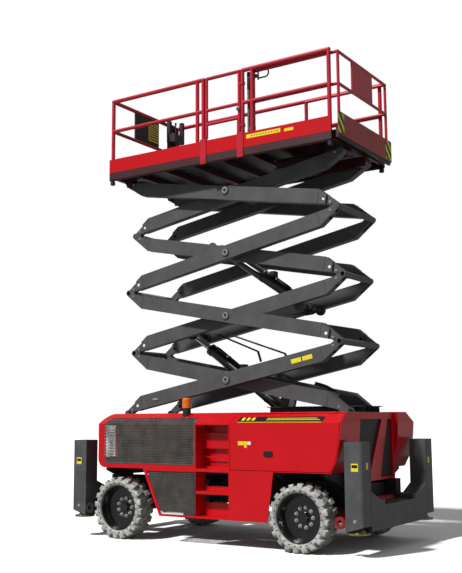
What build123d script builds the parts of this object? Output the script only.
"""Rough-terrain scissor lift with a four-level arm stack, in millimetres.

Frame: +X points to the end where the deck extension slides out, -Y is the
gate side, +Z is up.  The origin is on the ground under the middle of the
machine.  Piece names ending in _near stand at -Y and those in _far at +Y.
"""
from build123d import *
from math import asin, atan2, cos, degrees, radians, sin, sqrt
import os

# ---------------------------------------------------------------- wheels
WHEEL_BASE = 2840
WHEEL_MID_X = -40            # middle of the wheelbase
TYRE_R = 418                 # to the tips of the lugs
TYRE_W = 300
TYRE_OUT_Y = 1115            # outer face of a tyre
TYRE_SHOULDER = 45
RIM_R = 305
RIM_LIP = 34                 # the rim stands this far inside the tyre's faces
RIM_T = 14
BEAD_GAP = 0.3
LUG_COUNT = 20               # on each side of the tread; one facet of the tyre each
LUG_H = 26
LUG_LENGTH = 54              # around the tread
LUG_WIDTH = 128              # across the tread
LUG_CHAMFER = 16
HUB_R = 155
HUB_OUT = -36                # hub face, inwards of the tyre's middle plane
HUB_IN = 70                  # and its back
HUB_CAP = (70, 38)           # radius and height of the cap on the hub face
NUT_R = 13
NUT_COUNT = 9
NUT_CIRCLE_R = 120
NUT_H = 22

# ---------------------------------------------------------------- axles
AXLE_BOX = 140               # square section of an axle beam
DIFF_R = 150
REDUCER_R = 96               # planetary end of an axle
STUB_R = 60
HUB_FIT = 0.5                # end play between axle and hub
KING_Y = 700
KING_PIN_R = 25
KING_FIT = 0.3
KNUCKLE_R = 58
STEER_FORK_H = 300
STEER_FORK_T = 25
STEER_FORK_Y = 560
STEER_ARM = 190

# ---------------------------------------------------------------- scissor
ARM_L = 3575                 # from end pin to end pin
PIN_Z = 1715                 # bottom pins
LEVEL_H = 886                # rise of one level in this pose
TUBE_H = 195
TUBE_T = 120
OUTER_Y = 517                # middle plane of the outer arms
INNER_Y = 378                # middle plane of the inner arms
STACK_GAP = 5                # between two arms of one plane when stowed
TIP_R = 42
PIN_R = 30
PIN_FIT = 0.1                # radial running clearance of a pin
OPEN_FIT = 1.0               # radial clearance of a pivot that carries no joint
FORK_T = 25                  # cheek of a fork end
SIDE_GAP = 5                 # fork cheek to tang
LAP = 165                    # reach of a fork or tang from its pin
EYE_R = 22                   # hole through an arm's lower end
EYE_AT = (205, 68)           # along the arm and across it, from the end pin
EAR_RUN = 130                # where the edge starts to rise to the pin
CHAMFER_RUN = 286            # length of the sloped end
TUBE_R = 42                  # cross tubes at the apexes
CENTRE_TUBE_R = 60
CENTRE_PIN_R = 40
CENTRE_FIT = 2               # arm side to washer
WASHER_R = 60
WASHER_T = 12
ROLLER_R = 55
ROLLER_Y = (238, 305)
CHANNEL_Y = (218, 310)
CHANNEL_T = 12
ROLL_GAP = 1
SEAT_FOOT = 95               # half width of a fork seat at its foot

# top level: its end pins and centre pins stand a little off one line
TOP_PIN_R = 1780             # centre pin to top pin
TOP_PIN_ANGLE = 10.5
TOP_TUBE_ANGLE = 9.8
TOP_CENTRE_OFF = 35
STACK = 4

# ---------------------------------------------------------------- lift rams
RAM_R = 75
RAM_ROD_R = 42
RAM_EYE_R = 72
RAM_EYE_W = 150
RAM_PIN_R = 35
RAM_LUG_T = 30
RAM_EAR_Y = (90, 115)        # bracket plates beside the lower ram's eye
RAM_BORE_R = 60
RAM_BORE_START = 100
PISTON_L = 40
GLAND_L = 60
GLAND_LIP = 12
LOW_RAM_BASE = (620, 1700)   # x, z of the barrel eye
LOW_RAM_TIP = (-940, 2860)   # and of the rod eye
LOW_RAM_BARREL = 1570
LOW_ROD_START = 440
TOP_RAM_BASE = (-400, 4080)
TOP_RAM_TIP = (1015, 3125)
TOP_RAM_BARREL = 1355
TOP_ROD_START = 355

# ---------------------------------------------------------------- chassis
RAIL_X = 2030
RAIL_Y = (400, 550)
RAIL_Z = (520, 833)
FRAME_CROSS_X = (-1820, -760, 120, 820, 1820)
FRAME_CROSS_W = 120
BEARER_X = (-1660, -1000, -160, 450, 1080, 1760)
BEARER_W = 60
BEARER_H = 40
BEARER_FOOT_H = 110          # a bearer's reach down the rail
BEARER_Y = 1080
DECK_X = 1900
DECK_Y = (200, 577)
DECK_Z = (1560, 1647)
DECK_POST_X = (-1850, -700, 700, 1850)
DECK_POST_W = 100
PORTAL_T = 40                # red frames that close the ends
PORTAL_LIP = 35
PORTAL_TOP = (1611, 1702)
PORTAL_SIDE = 72
TOW_X = 1950
TOW_Z = 575
TOW_R = 62
TOW_Y = 750

# ---------------------------------------------------------------- hoods
BODY_X = (-1792, 2005)
BODY_Y = (592, 1133)         # inner and outer wall of a hood
BODY_Z = (965, 1705)
SHOULDER_Z = 1567            # the long top bevel starts here
SHOULDER_Y = 912             # and ends here
NOSE_FOOT_X = 1855           # the nose slants in to its foot
NOSE_KNEES = ((1930, 1108), (1989, 1367))
NOSE_TOP_X = 1985
HOOD_CORNER_R = 120
WALL = 5
SEAT_GAP = 0.3
DOOR_T = 6
DOOR_GAP = 6
GRILLE_X = (-1681, -131)
GRILLE_Z = (1020, 1640)
GRILLE_CORNER_R = 60
COVER_RIM = 10
COVER_TOP = 1690
LATCH = (990, 1188)
LATCH_SIZE = (130, 70)
LATCH_H = 12
KNUCKLE_HINGE_R = 8
HINGE_PIN_R = 4
HINGE_LEAF_T = 4
GRILLE_HINGE_X = (-1500, -906, -220)
COVER_HINGE_X = (560, 1180, 1800)
END_WINDOW_Y = (700, 1060)
END_WINDOW_Z = (1100, 1540)
WINDOW_LAP = 12
MESH_T = 4
LADDER_X = (-115, 396)
LADDER_TOP = 1547
LADDER_DEPTH = 170
TOE_DEPTH = 60
LADDER_T = 6
TOE_SLOTS = ((543, 644), (757, 922), (1010, 1118), (1137, 1239), (1444, 1541))
TREADS = ((660, 700), (945, 985))
LADDER_MARGIN = 24
SKIRT_Z = 350
SKIRT_T = 12
SKIRT_X = (966, 1060)        # bottom and top of the skirt's slanted end
LOWER_X = (-712, -995)       # bottom and top of the lower grille's slanted end
LOWER_BAND = 46
LOWER_LIP = 28
BEACON_X = -395
BEACON_Y = -945
BEACON_R = 62
BEACON_BASE_R = 55
BEACON_Z = (1772, 1908)
ENGINE = ((-1500, -500), (640, 1050), 500)   # x, distance from the middle, height

# ---------------------------------------------------------------- outriggers
LEG_X = 2145                 # centre of a leg
LEG_Y = 1000
LEG_BOX = (230, 240)
LEG_TOP = 1340
LEG_FOOT = (292, 360)        # inner and outer edge of a sleeve's slanted foot
LEG_WALL = 10
LEG_FIT = 0.4
LEG_TUBE_Z = (420, 1220)
LEG_TRAVEL = 430
FOOT_ROD_R = 50
FOOT_CONE = (92, 60)         # radius and height of the cone on a pad
PAD_R = 138
PAD_T = 22
PAD_Z = 266
BEAM_Z = (292, 580)
BEAM_SLEEVE_Y = 490
BEAM_SLEEVE_Z = 640
GUSSET_Y = 600
GUSSET_Z = 760
RING_X = 1955
RING_Z = 400
RING_R = 72
RING_HOLE_R = 32
RING_T = 30

# ---------------------------------------------------------------- platform
PLAT_X = (-1905, 1816)
PLAT_HALF_Y = 846
FLOOR_Z = 5308
FLOOR_T = 18
SIDE_BEAM_Z = 5165
SIDE_BEAM_Y = (796, 844)
SIDE_BEAM_BEVEL = 20
RIB_X = (-1880, -1500, -1000, -500, 0, 500, 1000, 1400, 1790)
RIB_W = 50
TOE_Z = 5495
TOE_T = 8
RAIL_TOP_Z = 6437
RAIL_MID_Z = 5940
RAIL_R = 30
RAIL_MID_R = 27
POST_R = 28
NEAR_POSTS = (-1865, -311, -208, 452, 606, 1784)
GATE_POSTS = (-208, 452)     # the two of them beside the gate
FAR_POSTS = (-1865, -650, 575, 1784)
GATE_MID_Z = 5735
GATE_TUBE_R = 22
GATE_TOP_R = 25
GATE_LEG_OFF = 57            # gate leg to gate post
GATE_RING_R = 36
GATE_RING_Z = (5600, 6200)
GATE_RING_H = 40
GATE_FIT = 0.3
GATE_PLATE = (100, 10)       # width and thickness outside the toe board
BUMPER_R = 35
BUMPER_H = 55
BUMPER_Y = 805
EXT_X = 1914
EXT_RAIL_Y = 752
EXT_RAIL_R = 22
EXT_RAIL_DROP = 30           # its top rail below the guard rails' one
EXT_START_X = 490            # the deck's two plates also meet here
EXT_POSTS = (600, 1889)
EXT_TRAVEL = 1150
EXT_T = 16
EXT_RUNNER_H = 6
EXT_BEAM_Z = 5200
EXT_TOE_Z = (5240, 5545)
SIGN_T = 20
HANDLE_R = 11                # looped handle beside the extension's first post
HANDLE_Y = -706
HANDLE_POINTS = ((645, 6395), (822, 6395), (800, 6286), (645, 6286))
HANDLE_BEND_R = 50
POLE_X = 515                 # push rod beside it
POLE_R = 20
POLE_TOP = 6385
BOX_X = (-1826, -1660)       # control box: a cross body between two posts
BOX_Y = (470, 730)
BOX_Z = (6090, 6215)
BOX_POST = 60
BOX_POST_TOP = 6450
BOX_DESK = ((-1770, -1715), (570, 630), 6330)

# ---------------------------------------------------------------- helpers


def save(node, *solids):
    """Write the solids of one named piece as one STEP file."""
    shape = solids[0] if len(solids) == 1 else Compound(children=list(solids))
    export_step(shape, f"parts/{node}.step")


def joined(solids):
    """One shape from several that touch or overlap."""
    total = None
    for solid in solids:
        total = solid if total is None else total + solid
    return total


def block(x, y, z):
    """A box from pairs of low and high limits."""
    size = [b - a for a, b in (x, y, z)]
    centre = Vector(*[(a + b) / 2 for a, b in (x, y, z)])
    return Pos(centre) * Box(*size)


def pair(low_high, side):
    """Limits measured out from the middle plane, as limits on one side."""
    return tuple(sorted(side * v for v in low_high))


def around(centre, width):
    return (centre - width / 2, centre + width / 2)


def rod_y(x, z, radius, y):
    """A round bar along Y between two Y limits."""
    return Pos(x, (y[0] + y[1]) / 2, z) * Rot(90, 0, 0) * Cylinder(radius, y[1] - y[0])


def rod_z(x, y, radius, z):
    """A round bar along Z between two Z limits."""
    return Pos(x, y, (z[0] + z[1]) / 2) * Cylinder(radius, z[1] - z[0])


def bar(start, end, radius):
    """A round bar between two points."""
    path = Edge.make_line(start, end)
    return sweep(Plane(origin=start, z_dir=path % 0) * Circle(radius), path)


def outline(points):
    return make_face(Polyline(*points, close=True))


def plate_xz(face, y):
    """A flat plate from a face drawn in X and Z, between two Y limits."""
    return Pos(0, y[0], 0) * extrude(Plane.XZ * face, amount=y[1] - y[0], dir=(0, 1, 0))


def plate_yz(face, x):
    """A flat plate from a face drawn in Y and Z, between two X limits."""
    return Pos(x[0], 0, 0) * extrude(Plane.YZ * face, amount=x[1] - x[0], dir=(1, 0, 0))


def inset(face, amount):
    """A face with every edge moved in by an amount."""
    return offset(face, amount=-amount, kind=Kind.INTERSECTION) if amount else face


def mirror_x(solid):
    return mirror(solid, Plane.YZ)


def mirror_y(solid):
    return mirror(solid, Plane.XZ)


def slotted(panel, x, z, y, rows, columns, margin, post, share):
    """Cut rows of long slots through a panel that stands in X and Z."""
    pitch_x = (x[1] - x[0] - 2 * margin + post) / columns
    pitch_z = (z[1] - z[0] - 2 * margin) / rows
    slots = [block((x[0] + margin + i * pitch_x, x[0] + margin + (i + 1) * pitch_x - post), y,
                   around(z[0] + margin + (j + 0.5) * pitch_z, pitch_z * share))
             for i in range(columns) for j in range(rows)]
    return panel - slots


os.makedirs("parts", exist_ok=True)
SIDES = (("near", -1), ("far", 1))
ENDS = (("rear", -1), ("front", 1))

# ---------------------------------------------------------------- wheels
WHEEL_Y = TYRE_OUT_Y - TYRE_W / 2
AXLE_X = {"rear": WHEEL_MID_X - WHEEL_BASE / 2, "front": WHEEL_MID_X + WHEEL_BASE / 2}
AXLE_Z = TYRE_R
HALF_W = TYRE_W / 2


def tyre():
    """A solid tyre about the Y axis at the origin, its outer face at -Y."""
    carcass_r = TYRE_R - LUG_H
    shoulder_r = carcass_r - TYRE_SHOULDER
    step = 360 / LUG_COUNT

    def polygon(radius, z=0):
        """A face whose sides, one under each lug, touch a circle."""
        return Pos(0, 0, z) * RegularPolygon(radius, 2 * LUG_COUNT, major_radius=False,
                                             rotation=step / 4)

    flat = HALF_W - TYRE_SHOULDER
    end = extrude(polygon(carcass_r, flat), amount=TYRE_SHOULDER, taper=45)
    body = extrude(polygon(carcass_r), amount=flat, both=True) + end + mirror(end, Plane.XY)
    body = Rot(90, 0, 0) * (body - extrude(polygon(RIM_R), amount=TYRE_W, both=True))
    lug = block((shoulder_r, TYRE_R), (HALF_W - 4 - LUG_WIDTH, HALF_W - 4), around(0, LUG_LENGTH))
    lug = chamfer(lug.edges().group_by(Axis.X)[-1].group_by(Axis.Y)[-1], LUG_CHAMFER)
    lugs = [Rot(0, i * step, 0) * lug for i in range(LUG_COUNT)]
    lugs += [Rot(0, (i + 0.5) * step, 0) * mirror(lug, Plane.XZ) for i in range(LUG_COUNT)]
    return body + lugs


def rim():
    """A deep dished rim with its hub face and nuts, outer side at -Y."""
    shell_r = RIM_R - BEAD_GAP
    edge = HALF_W - RIM_LIP
    section = outline((
        (0, -HUB_OUT - HUB_CAP[1]), (HUB_CAP[0] - 12, -HUB_OUT - HUB_CAP[1]),
        (HUB_CAP[0], -HUB_OUT), (HUB_R, -HUB_OUT), (shell_r - 44, 16),
        (shell_r - RIM_T, -edge), (shell_r, -edge), (shell_r, edge),
        (shell_r - RIM_T, edge), (shell_r - 36, 48), (HUB_R + 20, HUB_IN), (0, HUB_IN)))
    nut = Pos(NUT_CIRCLE_R, -HUB_OUT - NUT_H / 2, 0) * Rot(90, 0, 0) * Cylinder(NUT_R, NUT_H)
    step = 360 / NUT_COUNT
    return revolve(section, Axis.Y) + [Rot(0, i * step, 0) * nut for i in range(NUT_COUNT)]


TYRE = tyre()
RIM = rim()
for end, _ in ENDS:
    for name, side in SIDES:
        place = Pos(AXLE_X[end], side * WHEEL_Y, AXLE_Z) * Rot(0, 0, 0 if side < 0 else 180)
        save(f"tyre_{end}_{name}", place * TYRE)
        save(f"rim_{end}_{name}", place * RIM)

# ---------------------------------------------------------------- axles
STUB_END = WHEEL_Y - HUB_IN - HUB_FIT


def axle_beam(x, half_y):
    """A square axle tube with its differential and its pads under the rails."""
    beam = block(around(x, AXLE_BOX), (-half_y, half_y), around(AXLE_Z, AXLE_BOX))
    beam = fillet(beam.edges().filter_by(Axis.Y), 20) + Pos(x, 0, AXLE_Z) * Sphere(DIFF_R)
    pads = [block(around(x, 120), pair(RAIL_Y, side), (AXLE_Z + 60, RAIL_Z[0]))
            for _, side in SIDES]
    return joined([beam, *pads])


x = AXLE_X["rear"]
rear_axle = axle_beam(x, 560)
for _, side in SIDES:
    rear_axle += rod_y(x, AXLE_Z, REDUCER_R, pair((540, KING_Y), side))
    rear_axle += rod_y(x, AXLE_Z, STUB_R, pair((KING_Y - 10, STUB_END), side))
save("rear_axle", rear_axle)

x = AXLE_X["front"]
fork_z = around(AXLE_Z, STEER_FORK_H)
front_axle = axle_beam(x, 570)
for _, side in SIDES:
    front_axle += block(around(x, 100), pair((STEER_FORK_Y, STEER_FORK_Y + 45), side), fork_z)
    for low in (fork_z[0], fork_z[1] - STEER_FORK_T):
        cheek = block(around(x, 100), pair((STEER_FORK_Y + 30, KING_Y), side), (low, low + STEER_FORK_T))
        cheek += rod_z(x, side * KING_Y, 50, (low, low + STEER_FORK_T))
        cheek -= rod_z(x, side * KING_Y, KING_PIN_R + KING_FIT, fork_z)
        front_axle += cheek
save("front_axle", front_axle)

barrel_h = STEER_FORK_H - 2 * STEER_FORK_T - 2 * KING_FIT
for name, side in SIDES:
    knuckle = rod_z(x, side * KING_Y, KNUCKLE_R, around(AXLE_Z, barrel_h))
    knuckle += rod_z(x, side * KING_Y, KING_PIN_R, fork_z)
    knuckle += rod_y(x, AXLE_Z, STUB_R, pair((KING_Y, STUB_END), side))
    knuckle += rod_y(x, AXLE_Z, REDUCER_R, pair((KING_Y + 20, KING_Y + 100), side))
    knuckle += block((x - STEER_ARM, x), pair((KING_Y - 22, KING_Y + 22), side),
                     around(AXLE_Z, 40))
    save(f"knuckle_{name}", knuckle)

# ---------------------------------------------------------------- main frame
# box rails and cross members, and brackets bolted on that carry the hoods
frame = [block((-RAIL_X, RAIL_X), pair(RAIL_Y, side), RAIL_Z) for _, side in SIDES]
frame += [block(around(x, FRAME_CROSS_W), (-RAIL_Y[0], RAIL_Y[0]),
                (RAIL_Z[0] + 40, RAIL_Z[1] - 40)) for x in FRAME_CROSS_X]
bearer_foot = RAIL_Y[1] + SEAT_GAP
bearer = outline(((bearer_foot, RAIL_Z[1] - BEARER_FOOT_H), (bearer_foot, BODY_Z[0]),
                  (BEARER_Y, BODY_Z[0]), (BEARER_Y, BODY_Z[0] - BEARER_H)))
bearers = []
for x in BEARER_X:
    plate = plate_yz(bearer, around(x, BEARER_W))
    bearers += [plate, mirror_y(plate)]
save("main_frame", joined(frame), *bearers)

deck = []
for _, side in SIDES:
    deck.append(block((-DECK_X, DECK_X), pair(DECK_Y, side), DECK_Z))
    deck += [block(around(x, DECK_POST_W), pair(RAIL_Y, side), (RAIL_Z[1], DECK_Z[0]))
             for x in DECK_POST_X]
deck += [block(around(x, DECK_POST_W), (-RAIL_Y[0], RAIL_Y[0]), (1000, 1200))
         for x in (DECK_POST_X[0], DECK_POST_X[-1])]

# ---------------------------------------------------------------- scissor arms
HALF_L = ARM_L / 2
PIN_OFF = (TUBE_H + STACK_GAP) / 2
REST = degrees(asin(LEVEL_H / ARM_L))
TUBE_ANGLE = REST - degrees(asin(PIN_OFF / HALF_L))
PIN_X = HALF_L * cos(radians(REST))
OUTER = around(OUTER_Y, TUBE_T)
INNER = around(INNER_Y, TUBE_T)
FORK_HALF = TUBE_T / 2 - FORK_T
TANG_HALF = FORK_HALF - SIDE_GAP


def level_centre(level):
    return PIN_Z + (level - 0.5) * LEVEL_H


def pin_points(level):
    """Lower pin, centre pin and upper pin in the arm's own frame.

    The arm runs along its own X with the lower pin at the left.
    """
    if level < STACK:
        reach = sqrt(HALF_L ** 2 - PIN_OFF ** 2)
        return (-reach, -PIN_OFF), (0, 0), (reach, PIN_OFF)
    low = radians(REST - TOP_TUBE_ANGLE)
    top = radians(TOP_PIN_ANGLE - TOP_TUBE_ANGLE)
    off = TOP_CENTRE_OFF
    return ((-HALF_L * cos(low), off - HALF_L * sin(low)), (0, off),
            (TOP_PIN_R * cos(top), off + TOP_PIN_R * sin(top)))


def tangent_angle(point, centre, radius, turn):
    """Direction of the line from a point that just touches a circle."""
    dx, dz = centre[0] - point[0], centre[1] - point[1]
    return atan2(dz, dx) + turn * asin(radius / sqrt(dx * dx + dz * dz))


def meet(p, a, q, b):
    """Where the line from p at angle a meets the line from q at angle b."""
    t = ((q[0] - p[0]) * sin(b) - (q[1] - p[1]) * cos(b)) / sin(b - a)
    return (p[0] + t * cos(a), p[1] + t * sin(a))


def end_corners(pin):
    """Corners of one pointed end, from the pin-side edge round to the far edge."""
    sx = 1 if pin[0] > 0 else -1
    sz = 1 if pin[1] > 0 else -1
    near = (pin[0] - sx * EAR_RUN, sz * TUBE_H / 2)
    far = (pin[0] - sx * CHAMFER_RUN, -sz * TUBE_H / 2)
    a = tangent_angle(near, pin, TIP_R, sx * sz)
    b = tangent_angle(far, pin, TIP_R, -sx * sz)
    return near, meet(near, a, far, b), far


def arm_face(level):
    """An arm's side view, its two tips rounded about the end pins."""
    low, _, high = pin_points(level)
    face = outline((*end_corners(low), *end_corners(high)))
    tips = face.vertices().sort_by(Axis.X)
    return fillet([tips[0], tips[-1]], TIP_R)


def beam(level, plane_y, side, low_end, high_end):
    """One beam of an arm in its own frame, with fork, tang or plain ends."""
    mid = side * plane_y
    solid = plate_xz(arm_face(level), around(mid, TUBE_T))
    low, _, high = pin_points(level)
    for pin, kind in ((low, low_end), (high, high_end)):
        sx = 1 if pin[0] > 0 else -1
        x = tuple(sorted((pin[0] - sx * LAP, pin[0] + sx * LAP)))
        z = around(pin[1], 4 * LAP)
        if kind == "fork":
            solid -= block(x, around(mid, 2 * FORK_HALF), z)
        elif kind != "plain":
            fit = OPEN_FIT if kind == "loose tang" else PIN_FIT
            solid -= block(x, (mid + TANG_HALF, mid + TUBE_T), z)
            solid -= block(x, (mid - TUBE_T, mid - TANG_HALF), z)
            solid -= rod_y(pin[0], pin[1], PIN_R + fit, around(mid, TUBE_T))
    if low_end != "plain":
        solid -= rod_y(low[0] + EYE_AT[0], low[1] + EYE_AT[1], EYE_R, around(mid, 2 * TUBE_T))
    return solid


def rises_right(level, outer):
    """Outer arms rise to +X on odd levels, inner arms on even levels."""
    return (level % 2 == 1) == outer


def arm_place(solid, level, outer):
    """Move a solid from an arm's own frame to its place in the machine."""
    angle = TUBE_ANGLE if level < STACK else TOP_TUBE_ANGLE
    centre = pin_points(level)[1]
    solid = (Pos(0, 0, level_centre(level)) * Rot(0, -angle, 0)
             * Pos(-centre[0], 0, -centre[1]) * solid)
    return solid if rises_right(level, outer) else mirror_x(solid)


def to_arm(x, z, level, outer):
    """A point of the machine in an arm's own frame."""
    angle = radians(TUBE_ANGLE if level < STACK else TOP_TUBE_ANGLE)
    centre = pin_points(level)[1]
    x = x if rises_right(level, outer) else -x
    dz = z - level_centre(level)
    return (x * cos(angle) + dz * sin(angle) + centre[0],
            -x * sin(angle) + dz * cos(angle) + centre[1])


def cross_tube(x, z, radius, inner_face):
    """A tube that joins the two beams of an arm."""
    return rod_y(x, z, radius, (-inner_face - 1, inner_face + 1))


ARMS = (
    # name, level, outer, lower end, upper end, centre tube
    ("outer_arm_1", 1, True, "tang", "fork", False),
    ("outer_arm_2", 2, True, "tang", "fork", False),
    ("outer_arm_3", 3, True, "tang", "fork", False),
    ("outer_arm_4", 4, True, "tang", "tang", False),
    ("inner_arm_1", 1, False, "plain", "fork", False),
    ("inner_arm_2", 2, False, "loose tang", "fork", True),
    ("inner_arm_3", 3, False, "loose tang", "fork", False),
    ("inner_arm_4", 4, False, "loose tang", "plain", True),
)

for name, level, outer, low_end, high_end, centre_tube in ARMS:
    low, centre, high = pin_points(level)
    faces = OUTER if outer else INNER
    pieces = []
    for _, side in SIDES:
        one = beam(level, OUTER_Y if outer else INNER_Y, side, low_end, high_end)
        if outer:
            one -= rod_y(*centre, CENTRE_PIN_R + PIN_FIT, pair(around(OUTER_Y, 2 * TUBE_T), side))
        else:
            washer_y = OUTER[1] + CENTRE_FIT
            pieces.append(rod_y(*centre, CENTRE_PIN_R, pair((INNER[1] - 1, washer_y), side)))
            pieces.append(rod_y(*centre, WASHER_R, pair((washer_y, washer_y + WASHER_T), side)))
            pieces.append(rod_y(*centre, WASHER_R, pair((INNER[1] - 1, INNER[1] + WASHER_T), side)))
        if high_end == "fork":
            pieces.append(rod_y(*high, PIN_R, pair(faces, side)))
        pieces.append(one)
    if high_end == "fork":
        pieces.append(cross_tube(*high, TUBE_R, faces[0]))
    if centre_tube:
        pieces.append(cross_tube(*centre, CENTRE_TUBE_R, faces[0]))
    roller = {"inner_arm_1": low, "inner_arm_4": high}.get(name)
    if roller:
        for _, side in SIDES:
            pieces.append(rod_y(*roller, PIN_R, pair((ROLLER_Y[0], INNER[0] + 1), side)))
            pieces.append(rod_y(*roller, ROLLER_R, pair(ROLLER_Y, side)))
    if name == "inner_arm_1":       # bracket of the lower ram
        u, w = to_arm(*LOW_RAM_BASE, level, outer)
        pieces.append(cross_tube(u, 0, RAM_ROD_R - 2, INNER[0]))
        ear = outline(((u - 70, 0), (u + 70, 0), (u + 55, w), (u, w - 60), (u - 55, w)))
        for _, side in SIDES:
            pieces.append(plate_xz(ear, pair(RAM_EAR_Y, side)))
            pieces.append(rod_y(u, w, RAM_PIN_R, pair((0, RAM_EAR_Y[1]), side)))
    if name == "inner_arm_3":       # pin of the upper ram
        u, w = to_arm(*TOP_RAM_BASE, level, outer)
        pieces.append(cross_tube(u, w, RAM_PIN_R, INNER[0]))
        for _, side in SIDES:
            pieces.append(rod_y(u, w, RAM_EYE_R - 2, pair((INNER[0] - 20, INNER[0] + 1), side)))
    if name == "inner_arm_2":       # lugs for both rod ends
        for tip in (LOW_RAM_TIP, TOP_RAM_TIP):
            u, w = to_arm(*tip, level, outer)
            for _, side in SIDES:
                pieces.append(rod_y(u, w, RAM_R, pair((INNER[0] - RAM_LUG_T, INNER[0] + 1), side)))
    save(name, *[arm_place(s, level, outer) for s in joined(pieces).solids()])

# ---------------------------------------------------------------- lift rams
RAMS = (
    # name, barrel eye, rod eye, barrel length, rod start
    ("low_ram", LOW_RAM_BASE, LOW_RAM_TIP, LOW_RAM_BARREL, LOW_ROD_START),
    ("top_ram", TOP_RAM_BASE, TOP_RAM_TIP, TOP_RAM_BARREL, TOP_ROD_START),
)


def round_bar(start, end, radius):
    """A round bar along X between two X limits."""
    return Pos((start + end) / 2, 0, 0) * Rot(0, 90, 0) * Cylinder(radius, end - start)


for name, base, tip, length, rod_start in RAMS:
    dx, dz = tip[0] - base[0], tip[1] - base[1]
    reach = sqrt(dx * dx + dz * dz)
    along = Pos(base[0], 0, base[1]) * Rot(0, -degrees(atan2(dz, dx)), 0)
    barrel = round_bar(30, length, RAM_R)
    barrel += round_bar(length - GLAND_L, length, RAM_R + GLAND_LIP)
    barrel += rod_y(0, 0, RAM_EYE_R, around(0, RAM_EYE_W))
    barrel -= rod_y(0, 0, RAM_PIN_R + PIN_FIT, around(0, 2 * RAM_EYE_W))
    barrel -= round_bar(RAM_BORE_START, length - GLAND_L, RAM_BORE_R)
    barrel -= round_bar(length - GLAND_L - 1, length + 1, RAM_ROD_R + PIN_FIT)
    rod = round_bar(rod_start, reach, RAM_ROD_R)
    rod += round_bar(rod_start, rod_start + PISTON_L, RAM_BORE_R - PIN_FIT)
    rod += rod_y(reach, 0, RAM_EYE_R, around(0, RAM_EYE_W - 10))
    rod += rod_y(reach, 0, RAM_PIN_R + 10,
                 around(0, 2 * (INNER[0] - RAM_LUG_T - SIDE_GAP)))
    save(f"{name}_barrel", along * barrel)
    save(f"{name}_rod", along * rod)

# ---------------------------------------------------------------- seats and channels


def seat(x, z, base_z, side):
    """A fork that carries the tang of an end arm, with its pin."""
    mid = side * OUTER_Y
    ear = outline(((x - SEAT_FOOT, base_z), (x - TIP_R, z), (x + TIP_R, z), (x + SEAT_FOOT, base_z)))
    pieces = []
    for y in ((mid - TUBE_T / 2, mid - FORK_HALF), (mid + FORK_HALF, mid + TUBE_T / 2)):
        pieces += [plate_xz(ear, y), rod_y(x, z, TIP_R, y)]
    return pieces + [rod_y(x, z, PIN_R, around(mid, TUBE_T))]


def channel(x, z, side):
    """A roller channel with its open side towards the arm."""
    height = ROLLER_R + ROLL_GAP
    y = pair(CHANNEL_Y, side)
    web = pair((CHANNEL_Y[0], CHANNEL_Y[0] + CHANNEL_T), side)
    return [block(x, web, around(z, 2 * (height + CHANNEL_T))),
            block(x, y, (z - height - CHANNEL_T, z - height)),
            block(x, y, (z + height, z + height + CHANNEL_T))]


LOW_CHANNEL_X = (490, DECK_X)
for _, side in SIDES:
    deck += seat(-PIN_X, PIN_Z, DECK_Z[1] - 1, side)
    deck += channel(LOW_CHANNEL_X, PIN_Z, side)
save("scissor_deck", joined(deck))

# ---------------------------------------------------------------- hoods
HOOD_END = outline(((BODY_Y[0], BODY_Z[0]), (BODY_Y[1], BODY_Z[0]), (BODY_Y[1], SHOULDER_Z),
                    (SHOULDER_Y, BODY_Z[1]), (BODY_Y[0], BODY_Z[1])))
HOOD_SIDE = outline(((BODY_X[0], BODY_Z[0]), (NOSE_FOOT_X, BODY_Z[0]), *NOSE_KNEES,
                     (BODY_X[1], SHOULDER_Z), (NOSE_TOP_X, BODY_Z[1]), (BODY_X[0], BODY_Z[1])))
HOOD_SIDE = fillet(HOOD_SIDE.vertices().group_by(Axis.X)[0], HOOD_CORNER_R)
BEVEL = degrees(atan2(BODY_Z[1] - SHOULDER_Z, BODY_Y[1] - SHOULDER_Y))


def hood_form(amount):
    """The far hood's outside, with every face moved in by an amount."""
    return (plate_yz(inset(HOOD_END, amount), BODY_X)
            & plate_xz(inset(HOOD_SIDE, amount), BODY_Y))


def through_side(face):
    """A prism through the far hood's outer wall and bevel."""
    return plate_xz(face, (SHOULDER_Y - 60, BODY_Y[1] + 20))


def hinge(xs, z):
    """Hinges on the bevel at height z: what the hood has, and what the door has."""
    y = SHOULDER_Y + (BODY_Z[1] - z) / (BODY_Z[1] - SHOULDER_Z) * (BODY_Y[1] - SHOULDER_Y)
    r = KNUCKLE_HINGE_R
    place = Pos(0, y, z) * Rot(-BEVEL, 0, 0) * Pos(0, 0, r)
    leaf_z = (-r - 1, -HINGE_PIN_R - 0.5)
    hood_parts, door_parts = [], []
    for x in xs:
        bore = round_bar(x - 31, x + 31, HINGE_PIN_R + PIN_FIT)
        door_parts.append(place * (round_bar(x - 30, x + 30, r)
                                   + block((x - 30, x + 30), (0, 36), leaf_z) - bore))
        for a, b in ((x - 56, x - 31), (x + 31, x + 56)):
            hood_parts.append(place * (round_bar(a, b, r) + block((a, b), (-20, 0), leaf_z)))
        hood_parts.append(place * round_bar(x - 56, x + 56, HINGE_PIN_R))
    return hood_parts, door_parts


SHELL = hood_form(0)
hood = SHELL - hood_form(WALL)
panels = SHELL - hood_form(DOOR_T)

grille_face = Pos((GRILLE_X[0] + GRILLE_X[1]) / 2, (GRILLE_Z[0] + GRILLE_Z[1]) / 2) * (
    RectangleRounded(GRILLE_X[1] - GRILLE_X[0], GRILLE_Z[1] - GRILLE_Z[0], GRILLE_CORNER_R))
cover_low = LADDER_X[1] + WALL + COVER_RIM
cover_face = inset(HOOD_SIDE, COVER_RIM) & outline((
    (cover_low, 0), (2 * BODY_X[1], 0), (2 * BODY_X[1], COVER_TOP), (cover_low, COVER_TOP)))

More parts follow.
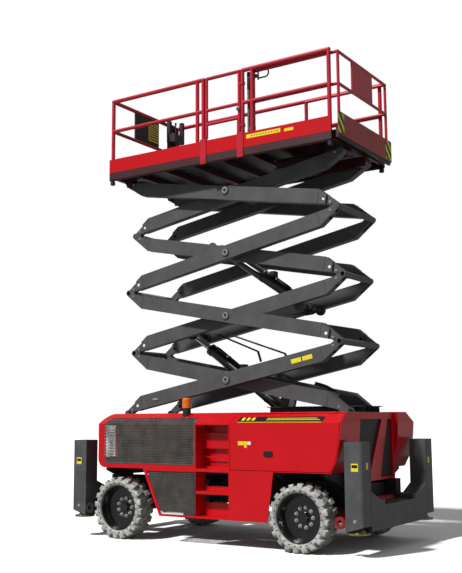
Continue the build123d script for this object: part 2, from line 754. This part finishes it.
for face, z_top, hinge_xs in ((grille_face, GRILLE_Z[1], GRILLE_HINGE_X),
                              (cover_face, COVER_TOP, COVER_HINGE_X)):
    hood -= through_side(face)
    door = panels & through_side(inset(face, DOOR_GAP))
    on_hood, on_door = hinge(hinge_xs, z_top - DOOR_GAP / 2)
    hood += on_hood
    if face is grille_face:
        grille = slotted(door, GRILLE_X, (GRILLE_Z[0], SHOULDER_Z), (BODY_Y[1] - 50, BODY_Y[1] + 50),
                         12, 3, GRILLE_CORNER_R, 40, 0.55) + on_door
    else:
        cover = door + on_door
        latch = fillet(block(around(LATCH[0], LATCH_SIZE[0]), (BODY_Y[1] - 1, BODY_Y[1] + LATCH_H),
                             around(LATCH[1], LATCH_SIZE[1])).edges().filter_by(Axis.Y), 30)
        cover += latch

hood -= block((BODY_X[0] - 1, BODY_X[0] + WALL + 1), END_WINDOW_Y, END_WINDOW_Z)

recess_y = (-BODY_Y[1], -BODY_Y[1] + LADDER_DEPTH + TOE_DEPTH)
near_hood = mirror_y(hood)
near_hood += block((LADDER_X[0] - WALL, LADDER_X[1] + WALL), (recess_y[0], recess_y[1] + WALL),
                   (BODY_Z[0], LADDER_TOP + WALL))
near_hood -= block(LADDER_X, (recess_y[0] - 1, recess_y[1]), (BODY_Z[0] - 1, LADDER_TOP))
save("hood_near", near_hood)
save("hood_far", hood)
save("grille_door_near", mirror_y(grille))
save("grille_door_far", grille)
save("cover_door_near", mirror_y(cover))
save("cover_door_far", cover)

# ---------------------------------------------------------------- lower side panels
outer_y = (BODY_Y[1] - SKIRT_T, BODY_Y[1])
slant = (LOWER_X[0] - LOWER_X[1]) / (BODY_Z[0] - SKIRT_Z)
hole_z = (SKIRT_Z + LOWER_LIP, BODY_Z[0] - LOWER_LIP)
frame_face = outline(((LOWER_X[1], BODY_Z[0]), (LOWER_X[0], SKIRT_Z), (LADDER_X[0], SKIRT_Z),
                      (LADDER_X[0], BODY_Z[0])))
hole_face = outline((
    (LOWER_X[0] - slant * (hole_z[1] - SKIRT_Z) + LOWER_BAND, hole_z[1]),
    (LOWER_X[0] - slant * (hole_z[0] - SKIRT_Z) + LOWER_BAND, hole_z[0]),
    (LADDER_X[0] - WALL, hole_z[0]), (LADDER_X[0] - WALL, hole_z[1])))
lower = plate_xz(frame_face - hole_face, outer_y)
skirt = plate_xz(outline(((LADDER_X[1], BODY_Z[0]), (SKIRT_X[1], BODY_Z[0]),
                          (SKIRT_X[0], SKIRT_Z), (LADDER_X[1], SKIRT_Z))), outer_y)
wall_y = (BODY_Y[1] - LADDER_DEPTH - TOE_DEPTH, BODY_Y[1])
lower += block((LADDER_X[0] - WALL, LADDER_X[0]), wall_y, (SKIRT_Z, BODY_Z[0]))
skirt += block((LADDER_X[1], LADDER_X[1] + WALL), wall_y, (SKIRT_Z, BODY_Z[0]))
save("side_skirts", lower, mirror_y(lower), skirt, mirror_y(skirt))

# mesh panels: two behind the lower frames and two behind the end windows
mesh_y = (outer_y[0] - MESH_T, outer_y[0])
mesh = plate_xz(inset(frame_face, WINDOW_LAP), mesh_y)
mesh = slotted(mesh, (LOWER_X[0] + LOWER_BAND, LADDER_X[0] - WINDOW_LAP), hole_z, mesh_y,
               12, 2, 20, 40, 0.55)
end_mesh = block((BODY_X[0] + WALL, BODY_X[0] + WALL + MESH_T),
                 (END_WINDOW_Y[0] - WINDOW_LAP, END_WINDOW_Y[1] + WINDOW_LAP),
                 (END_WINDOW_Z[0] - WINDOW_LAP, END_WINDOW_Z[1] + WINDOW_LAP))
pitch = (END_WINDOW_Z[1] - END_WINDOW_Z[0]) / 12
end_mesh -= [block((BODY_X[0], BODY_X[0] + 50), (END_WINDOW_Y[0] + 20, END_WINDOW_Y[1] - 20),
                   around(END_WINDOW_Z[0] + (i + 0.5) * pitch, 0.55 * pitch)) for i in range(12)]
save("fixed_grilles", mesh, mirror_y(mesh), end_mesh, mirror_y(end_mesh))

# ladder: a back panel with toe slots, two treads and a bottom lip
panel_x = (LADDER_X[0] + SEAT_GAP, LADDER_X[1] - SEAT_GAP)
panel_y = (-BODY_Y[1] + LADDER_DEPTH, -BODY_Y[1] + LADDER_DEPTH + LADDER_T)
slot_x = (panel_x[0] + LADDER_MARGIN, panel_x[1] - LADDER_MARGIN)
ladder = block(panel_x, panel_y, (SKIRT_Z, LADDER_TOP - SEAT_GAP))
ladder -= [block(slot_x, (panel_y[0] - 1, panel_y[1] + 1), z) for z in TOE_SLOTS]
ladder += [block(panel_x, (-BODY_Y[1] + 2, panel_y[0] + 1), z)
           for z in (*TREADS, (SKIRT_Z, SKIRT_Z + LOWER_LIP))]
save("ladder", ladder)

# ---------------------------------------------------------------- engine and ends
save("engine_block", block(ENGINE[0], pair(ENGINE[1], -1),
                           (BODY_Z[0] + WALL, BODY_Z[0] + WALL + ENGINE[2])))

portal_y = BODY_Y[0] - SEAT_GAP
ring = block((DECK_X, DECK_X + PORTAL_T), (-portal_y, portal_y), (RAIL_Z[1], PORTAL_TOP[1]))
ring -= block((DECK_X - 1, DECK_X + PORTAL_T + 1), (-portal_y + PORTAL_SIDE, portal_y - PORTAL_SIDE),
              (RAIL_Z[1] + PORTAL_LIP, PORTAL_TOP[0]))
brace = outline(((-230, RAIL_Z[1] + PORTAL_LIP - 1), (112, RAIL_Z[1] + PORTAL_LIP - 1),
                 (378, PORTAL_TOP[0] + 1), (199, PORTAL_TOP[0] + 1)))
front_ring = ring + plate_yz(brace, (DECK_X + 14, DECK_X + PORTAL_T))
save("end_frames", front_ring, mirror_x(ring))
panel = block((DECK_X + 4, DECK_X + 12),
              (-portal_y + PORTAL_SIDE + SEAT_GAP, portal_y - PORTAL_SIDE - SEAT_GAP),
              (RAIL_Z[1] + PORTAL_LIP + SEAT_GAP, PORTAL_TOP[0] - SEAT_GAP))
save("end_panels", panel, mirror_x(panel))

beacon = rod_z(BEACON_X, -BEACON_Y, BEACON_BASE_R, (SHOULDER_Z, BEACON_Z[0])) - SHELL
save("beacon_base", mirror_y(beacon))
lens = rod_z(BEACON_X, BEACON_Y, BEACON_R, BEACON_Z)
save("beacon_lens", fillet(lens.edges().group_by(Axis.Z)[-1], 25))

# ---------------------------------------------------------------- outriggers
LEG_FACE_X = LEG_X - LEG_BOX[0] / 2
LEG_FACE_Y = LEG_Y - LEG_BOX[1] / 2


def sleeve():
    """The front far leg's outer box, open below with a slanted foot."""
    x, y = around(LEG_X, LEG_BOX[0]), around(LEG_Y, LEG_BOX[1])
    box = plate_xz(outline(((x[0], LEG_FOOT[0]), (x[1], LEG_FOOT[1]), (x[1], LEG_TOP),
                            (x[0], LEG_TOP))), y)
    return box - block((x[0] + LEG_WALL, x[1] - LEG_WALL), (y[0] + LEG_WALL, y[1] - LEG_WALL),
                       (0, LEG_TOP - LEG_WALL))


def leg():
    """The front far leg: its inner tube, foot rod and round pad."""
    play = 2 * (LEG_WALL + LEG_FIT)
    tube = block(around(LEG_X, LEG_BOX[0] - play), around(LEG_Y, LEG_BOX[1] - play), LEG_TUBE_Z)
    top = PAD_Z + PAD_T
    cone = Pos(LEG_X, LEG_Y, top + FOOT_CONE[1] / 2) * Cone(FOOT_CONE[0], FOOT_ROD_R, FOOT_CONE[1])
    return (tube + rod_z(LEG_X, LEG_Y, FOOT_ROD_R, (top, LEG_TUBE_Z[0] + 1)) + cone
            + rod_z(LEG_X, LEG_Y, PAD_R, (PAD_Z, top)))


def ring_plate():
    """A tie-down ring on the front far sleeve."""
    y = (LEG_Y + LEG_BOX[1] / 2 - RING_T, LEG_Y + LEG_BOX[1] / 2)
    eye = rod_y(RING_X, RING_Z, RING_R, y)
    eye += block((RING_X, LEG_FACE_X - SEAT_GAP), y, around(RING_Z, RING_R))
    return eye - rod_y(RING_X, RING_Z, RING_HOLE_R, (y[0] - 1, y[1] + 1))


half_beam = ((0, BEAM_Z[0]), (LEG_FACE_Y, BEAM_Z[0]), (LEG_FACE_Y, GUSSET_Z),
             (GUSSET_Y, BEAM_SLEEVE_Z), (BEAM_SLEEVE_Y, BEAM_SLEEVE_Z), (BEAM_SLEEVE_Y, BEAM_Z[1]),
             (0, BEAM_Z[1]))
half = plate_yz(outline(half_beam), around(LEG_X, LEG_BOX[0]))
cross_beam = half + mirror_y(half)
sleeves, rings, beams = [], [], []
for end, sx in ENDS:
    beams.append(cross_beam if sx > 0 else mirror_x(cross_beam))
    for name, side in SIDES:
        placed = []
        for solid in (sleeve(), leg(), ring_plate()):
            solid = solid if side > 0 else mirror_y(solid)
            placed.append(solid if sx > 0 else mirror_x(solid))
        sleeves.append(placed[0])
        rings.append(placed[2])
        save(f"outrigger_leg_{end}_{name}", placed[1])
save("outrigger_sleeves", *sleeves)
save("outrigger_beams", *beams)

tow = [rod_y(TOW_X, TOW_Z, TOW_R, y) for y in (
    (-TOW_Y, -RAIL_Y[1]), (-RAIL_Y[0], RAIL_Y[0]), (RAIL_Y[1], TOW_Y))]
save("tow_gear", *tow, *rings)

# ---------------------------------------------------------------- platform
TOP_X = TOP_PIN_R * cos(radians(TOP_PIN_ANGLE))
TOP_Z = level_centre(STACK) + TOP_PIN_R * sin(radians(TOP_PIN_ANGLE))
UNDER_Z = FLOOR_Z - FLOOR_T
RIB_Z = TOP_Z + ROLLER_R + ROLL_GAP + CHANNEL_T
HIGH_CHANNEL_X = (640, 1800)

under = []
for _, side in SIDES:
    edge = block(PLAT_X, pair(SIDE_BEAM_Y, side), (SIDE_BEAM_Z, UNDER_Z))
    under.append(chamfer(edge.edges().filter_by(Axis.X).group_by(Axis.Z)[0], SIDE_BEAM_BEVEL))
    under += seat(-TOP_X, TOP_Z, RIB_Z + 1, side)
    under.append(block((RIB_X[0], RIB_X[1]), pair(OUTER, side), (RIB_Z, UNDER_Z)))
    under += channel(HIGH_CHANNEL_X, TOP_Z, side)
under += [block(around(x, RIB_W), (-SIDE_BEAM_Y[0] - 1, SIDE_BEAM_Y[0] + 1), (RIB_Z, UNDER_Z))
          for x in RIB_X]
save("platform_frame", joined(under))
save("bumpers", *[rod_z(x, y, BUMPER_R, (SIDE_BEAM_Z - BUMPER_H, SIDE_BEAM_Z))
                  for x in (PLAT_X[0] + BUMPER_R, PLAT_X[1] - BUMPER_R) for y in (-BUMPER_Y, BUMPER_Y)])
save("platform_floor", *[block(x, around(0, 2 * (SIDE_BEAM_Y[0] - 18)), (UNDER_Z, FLOOR_Z)) for x in (
    (PLAT_X[0] + TOE_T, EXT_START_X - SEAT_GAP), (EXT_START_X, PLAT_X[1]))])

toe = [block(PLAT_X, pair((PLAT_HALF_Y - TOE_T, PLAT_HALF_Y), side), (UNDER_Z, TOE_Z))
       for _, side in SIDES]
toe.append(block((PLAT_X[0], PLAT_X[0] + TOE_T), (-PLAT_HALF_Y, PLAT_HALF_Y), (UNDER_Z, TOE_Z)))
save("toe_boards", joined(toe))

RAIL_PLANE = PLAT_HALF_Y - TOE_T - RAIL_R
TOP_RAIL_Z = RAIL_TOP_Z - RAIL_R


def corner(x, y, z, radius):
    """A round corner where rails of one radius meet."""
    return Pos(x, y, z) * Sphere(radius + 1)


rails = []
for side, posts, runs in (
        (-1, NEAR_POSTS, ((NEAR_POSTS[0], GATE_POSTS[0]), (GATE_POSTS[1], NEAR_POSTS[-1]))),
        (1, FAR_POSTS, ((FAR_POSTS[0], FAR_POSTS[-1]),))):
    y = side * RAIL_PLANE
    for a, b in runs:
        rails.append(bar((a, y, TOP_RAIL_Z), (b, y, TOP_RAIL_Z), RAIL_R))
        rails.append(bar((a, y, RAIL_MID_Z), (b, y, RAIL_MID_Z), RAIL_MID_R))
        rails += [corner(x, y, TOP_RAIL_Z, RAIL_R) for x in (a, b)]
    rails += [rod_z(x, y, POST_R, (UNDER_Z, TOP_RAIL_Z)) for x in posts]
end_r = (RAIL_MID_R - 1, RAIL_R - 1)
for z, r in zip((RAIL_MID_Z, TOP_RAIL_Z), end_r):
    rails.append(rod_y(NEAR_POSTS[0], z, r, (-RAIL_PLANE, RAIL_PLANE)))
for post, inward in ((GATE_POSTS[0], 1), (GATE_POSTS[1], -1)):
    x = tuple(sorted((post - inward * POST_R, post + inward * (GATE_PLATE[0] - POST_R))))
    board = -PLAT_HALF_Y - SEAT_GAP
    rails.append(block(x, (board - GATE_PLATE[1], board), (SIDE_BEAM_Z, TOE_Z + 25)))
    rails.append(block(x, (board - 1, -RAIL_PLANE), (TOE_Z + SEAT_GAP, TOE_Z + 25)))
save("guard_rails", joined(rails))

sign_z = (RAIL_MID_Z + end_r[0] + SEAT_GAP, TOP_RAIL_Z - end_r[1] - SEAT_GAP)
save("rear_sign", block(around(NEAR_POSTS[0], SIGN_T), (-300, 300), sign_z))

# gate: three rails between two legs, with rings that turn on the post at its +X side
legs = (GATE_POSTS[0] + GATE_LEG_OFF, GATE_POSTS[1] - GATE_LEG_OFF)
gate = [rod_z(x, -RAIL_PLANE, GATE_TUBE_R, (TOE_Z + 40, TOP_RAIL_Z)) for x in legs]
gate += [bar((legs[0], -RAIL_PLANE, z), (legs[1], -RAIL_PLANE, z), r)
         for z, r in ((TOP_RAIL_Z, GATE_TOP_R), (RAIL_MID_Z, GATE_TOP_R - 1), (GATE_MID_Z, GATE_TUBE_R - 1))]
gate += [corner(x, -RAIL_PLANE, TOP_RAIL_Z, GATE_TOP_R) for x in legs]
for z in GATE_RING_Z:
    ring_z = (z, z + GATE_RING_H)
    gate.append(rod_z(GATE_POSTS[1], -RAIL_PLANE, GATE_RING_R, ring_z))
    gate.append(block((legs[1], GATE_POSTS[1]), around(-RAIL_PLANE, 2 * GATE_TUBE_R - 10), ring_z))
save("gate", joined(gate) - rod_z(GATE_POSTS[1], -RAIL_PLANE, POST_R + GATE_FIT, (UNDER_Z, RAIL_TOP_Z)))

# extension: a sliding deck with its own rails and end board
ext_z = (FLOOR_Z + EXT_RUNNER_H, FLOOR_Z + EXT_RUNNER_H + EXT_T)
ext = [block((EXT_START_X, EXT_X), (-EXT_RAIL_Y, EXT_RAIL_Y), ext_z),
       block((EXT_X - 40, EXT_X), around(0, 2 * (PLAT_HALF_Y - 20)), (EXT_BEAM_Z, ext_z[1]))]
ext += [block((EXT_START_X, PLAT_X[1] - 5), pair((EXT_RAIL_Y - 60, EXT_RAIL_Y - 20), side),
              (FLOOR_Z + SEAT_GAP, ext_z[0])) for _, side in SIDES]
save("extension_deck", joined(ext))
save("extension_toe_board", block((EXT_X + SEAT_GAP, EXT_X + SEAT_GAP + TOE_T),
                                  (-PLAT_HALF_Y, PLAT_HALF_Y), EXT_TOE_Z))
ext_top = TOP_RAIL_Z - EXT_RAIL_DROP
ext_rails = []
for _, side in SIDES:
    y = side * EXT_RAIL_Y
    ext_rails += [bar((EXT_POSTS[0], y, z), (EXT_POSTS[1], y, z), EXT_RAIL_R)
                  for z in (ext_top, RAIL_MID_Z)]
    for x in EXT_POSTS:
        ext_rails.append(rod_z(x, y, EXT_RAIL_R - 2, (ext_z[1], ext_top)))
        ext_rails.append(corner(x, y, ext_top, EXT_RAIL_R))
ext_rails += [rod_y(EXT_POSTS[1], z, EXT_RAIL_R - 1, (-EXT_RAIL_Y, EXT_RAIL_Y))
              for z in (ext_top, RAIL_MID_Z)]
save("extension_rails", joined(ext_rails))
save("front_sign", block(around(EXT_POSTS[1], SIGN_T), (-350, 290),
                         (RAIL_MID_Z + EXT_RAIL_R - 1 + SEAT_GAP, ext_top - EXT_RAIL_R + 1 - SEAT_GAP)))

# push pole and looped handle, clamped to the extension's first near post
clamp_z = [(z - 20, z + 20) for z in (HANDLE_POINTS[0][1] - 80, FLOOR_Z + 260)]
handle = [rod_z(POLE_X, -EXT_RAIL_Y, POLE_R, (ext_z[1] + SEAT_GAP, POLE_TOP))]
for z in clamp_z:
    handle.append(block((POLE_X, EXT_POSTS[0]), around(-EXT_RAIL_Y, 24), z))
    handle.append(rod_z(EXT_POSTS[0], -EXT_RAIL_Y, EXT_RAIL_R + 1, z))
handle.append(block((EXT_POSTS[0], HANDLE_POINTS[0][0]), (-EXT_RAIL_Y, HANDLE_Y), clamp_z[0]))
clamps = joined(handle) - rod_z(EXT_POSTS[0], -EXT_RAIL_Y, EXT_RAIL_R - 2 + SEAT_GAP,
                                (FLOOR_Z, TOP_RAIL_Z))
loop = FilletPolyline(*[(x, HANDLE_Y, z) for x, z in HANDLE_POINTS], radius=HANDLE_BEND_R)
loop = sweep(Plane(origin=loop @ 0, z_dir=loop % 0) * Circle(HANDLE_R), loop)
stem = rod_z(HANDLE_POINTS[0][0], HANDLE_Y, HANDLE_R + 1,
             (HANDLE_POINTS[-1][1] - 20, HANDLE_POINTS[0][1] + 16))
save("extension_handle", clamps + stem + loop)

# control box: a cross body between two posts, hung by a plate on the rear rails
back_x = (NEAR_POSTS[0] + end_r[1] + SEAT_GAP, BOX_X[0] + 1)
box = block(BOX_X, BOX_Y, BOX_Z)
box += block((BOX_X[0], BOX_X[0] + BOX_POST), (BOX_Y[0], BOX_Y[0] + BOX_POST), (BOX_Z[0], BOX_POST_TOP))
box += block((BOX_X[1] - BOX_POST, BOX_X[1]), (BOX_Y[1] - BOX_POST, BOX_Y[1]), (BOX_Z[0], BOX_POST_TOP))
box += block(BOX_DESK[0], BOX_DESK[1], (BOX_Z[0], BOX_DESK[2]))
box += block(back_x, (BOX_Y[0] + 20, BOX_Y[1] - 20), (RAIL_MID_Z - 20, TOP_RAIL_Z + 20))
save("control_box", box)
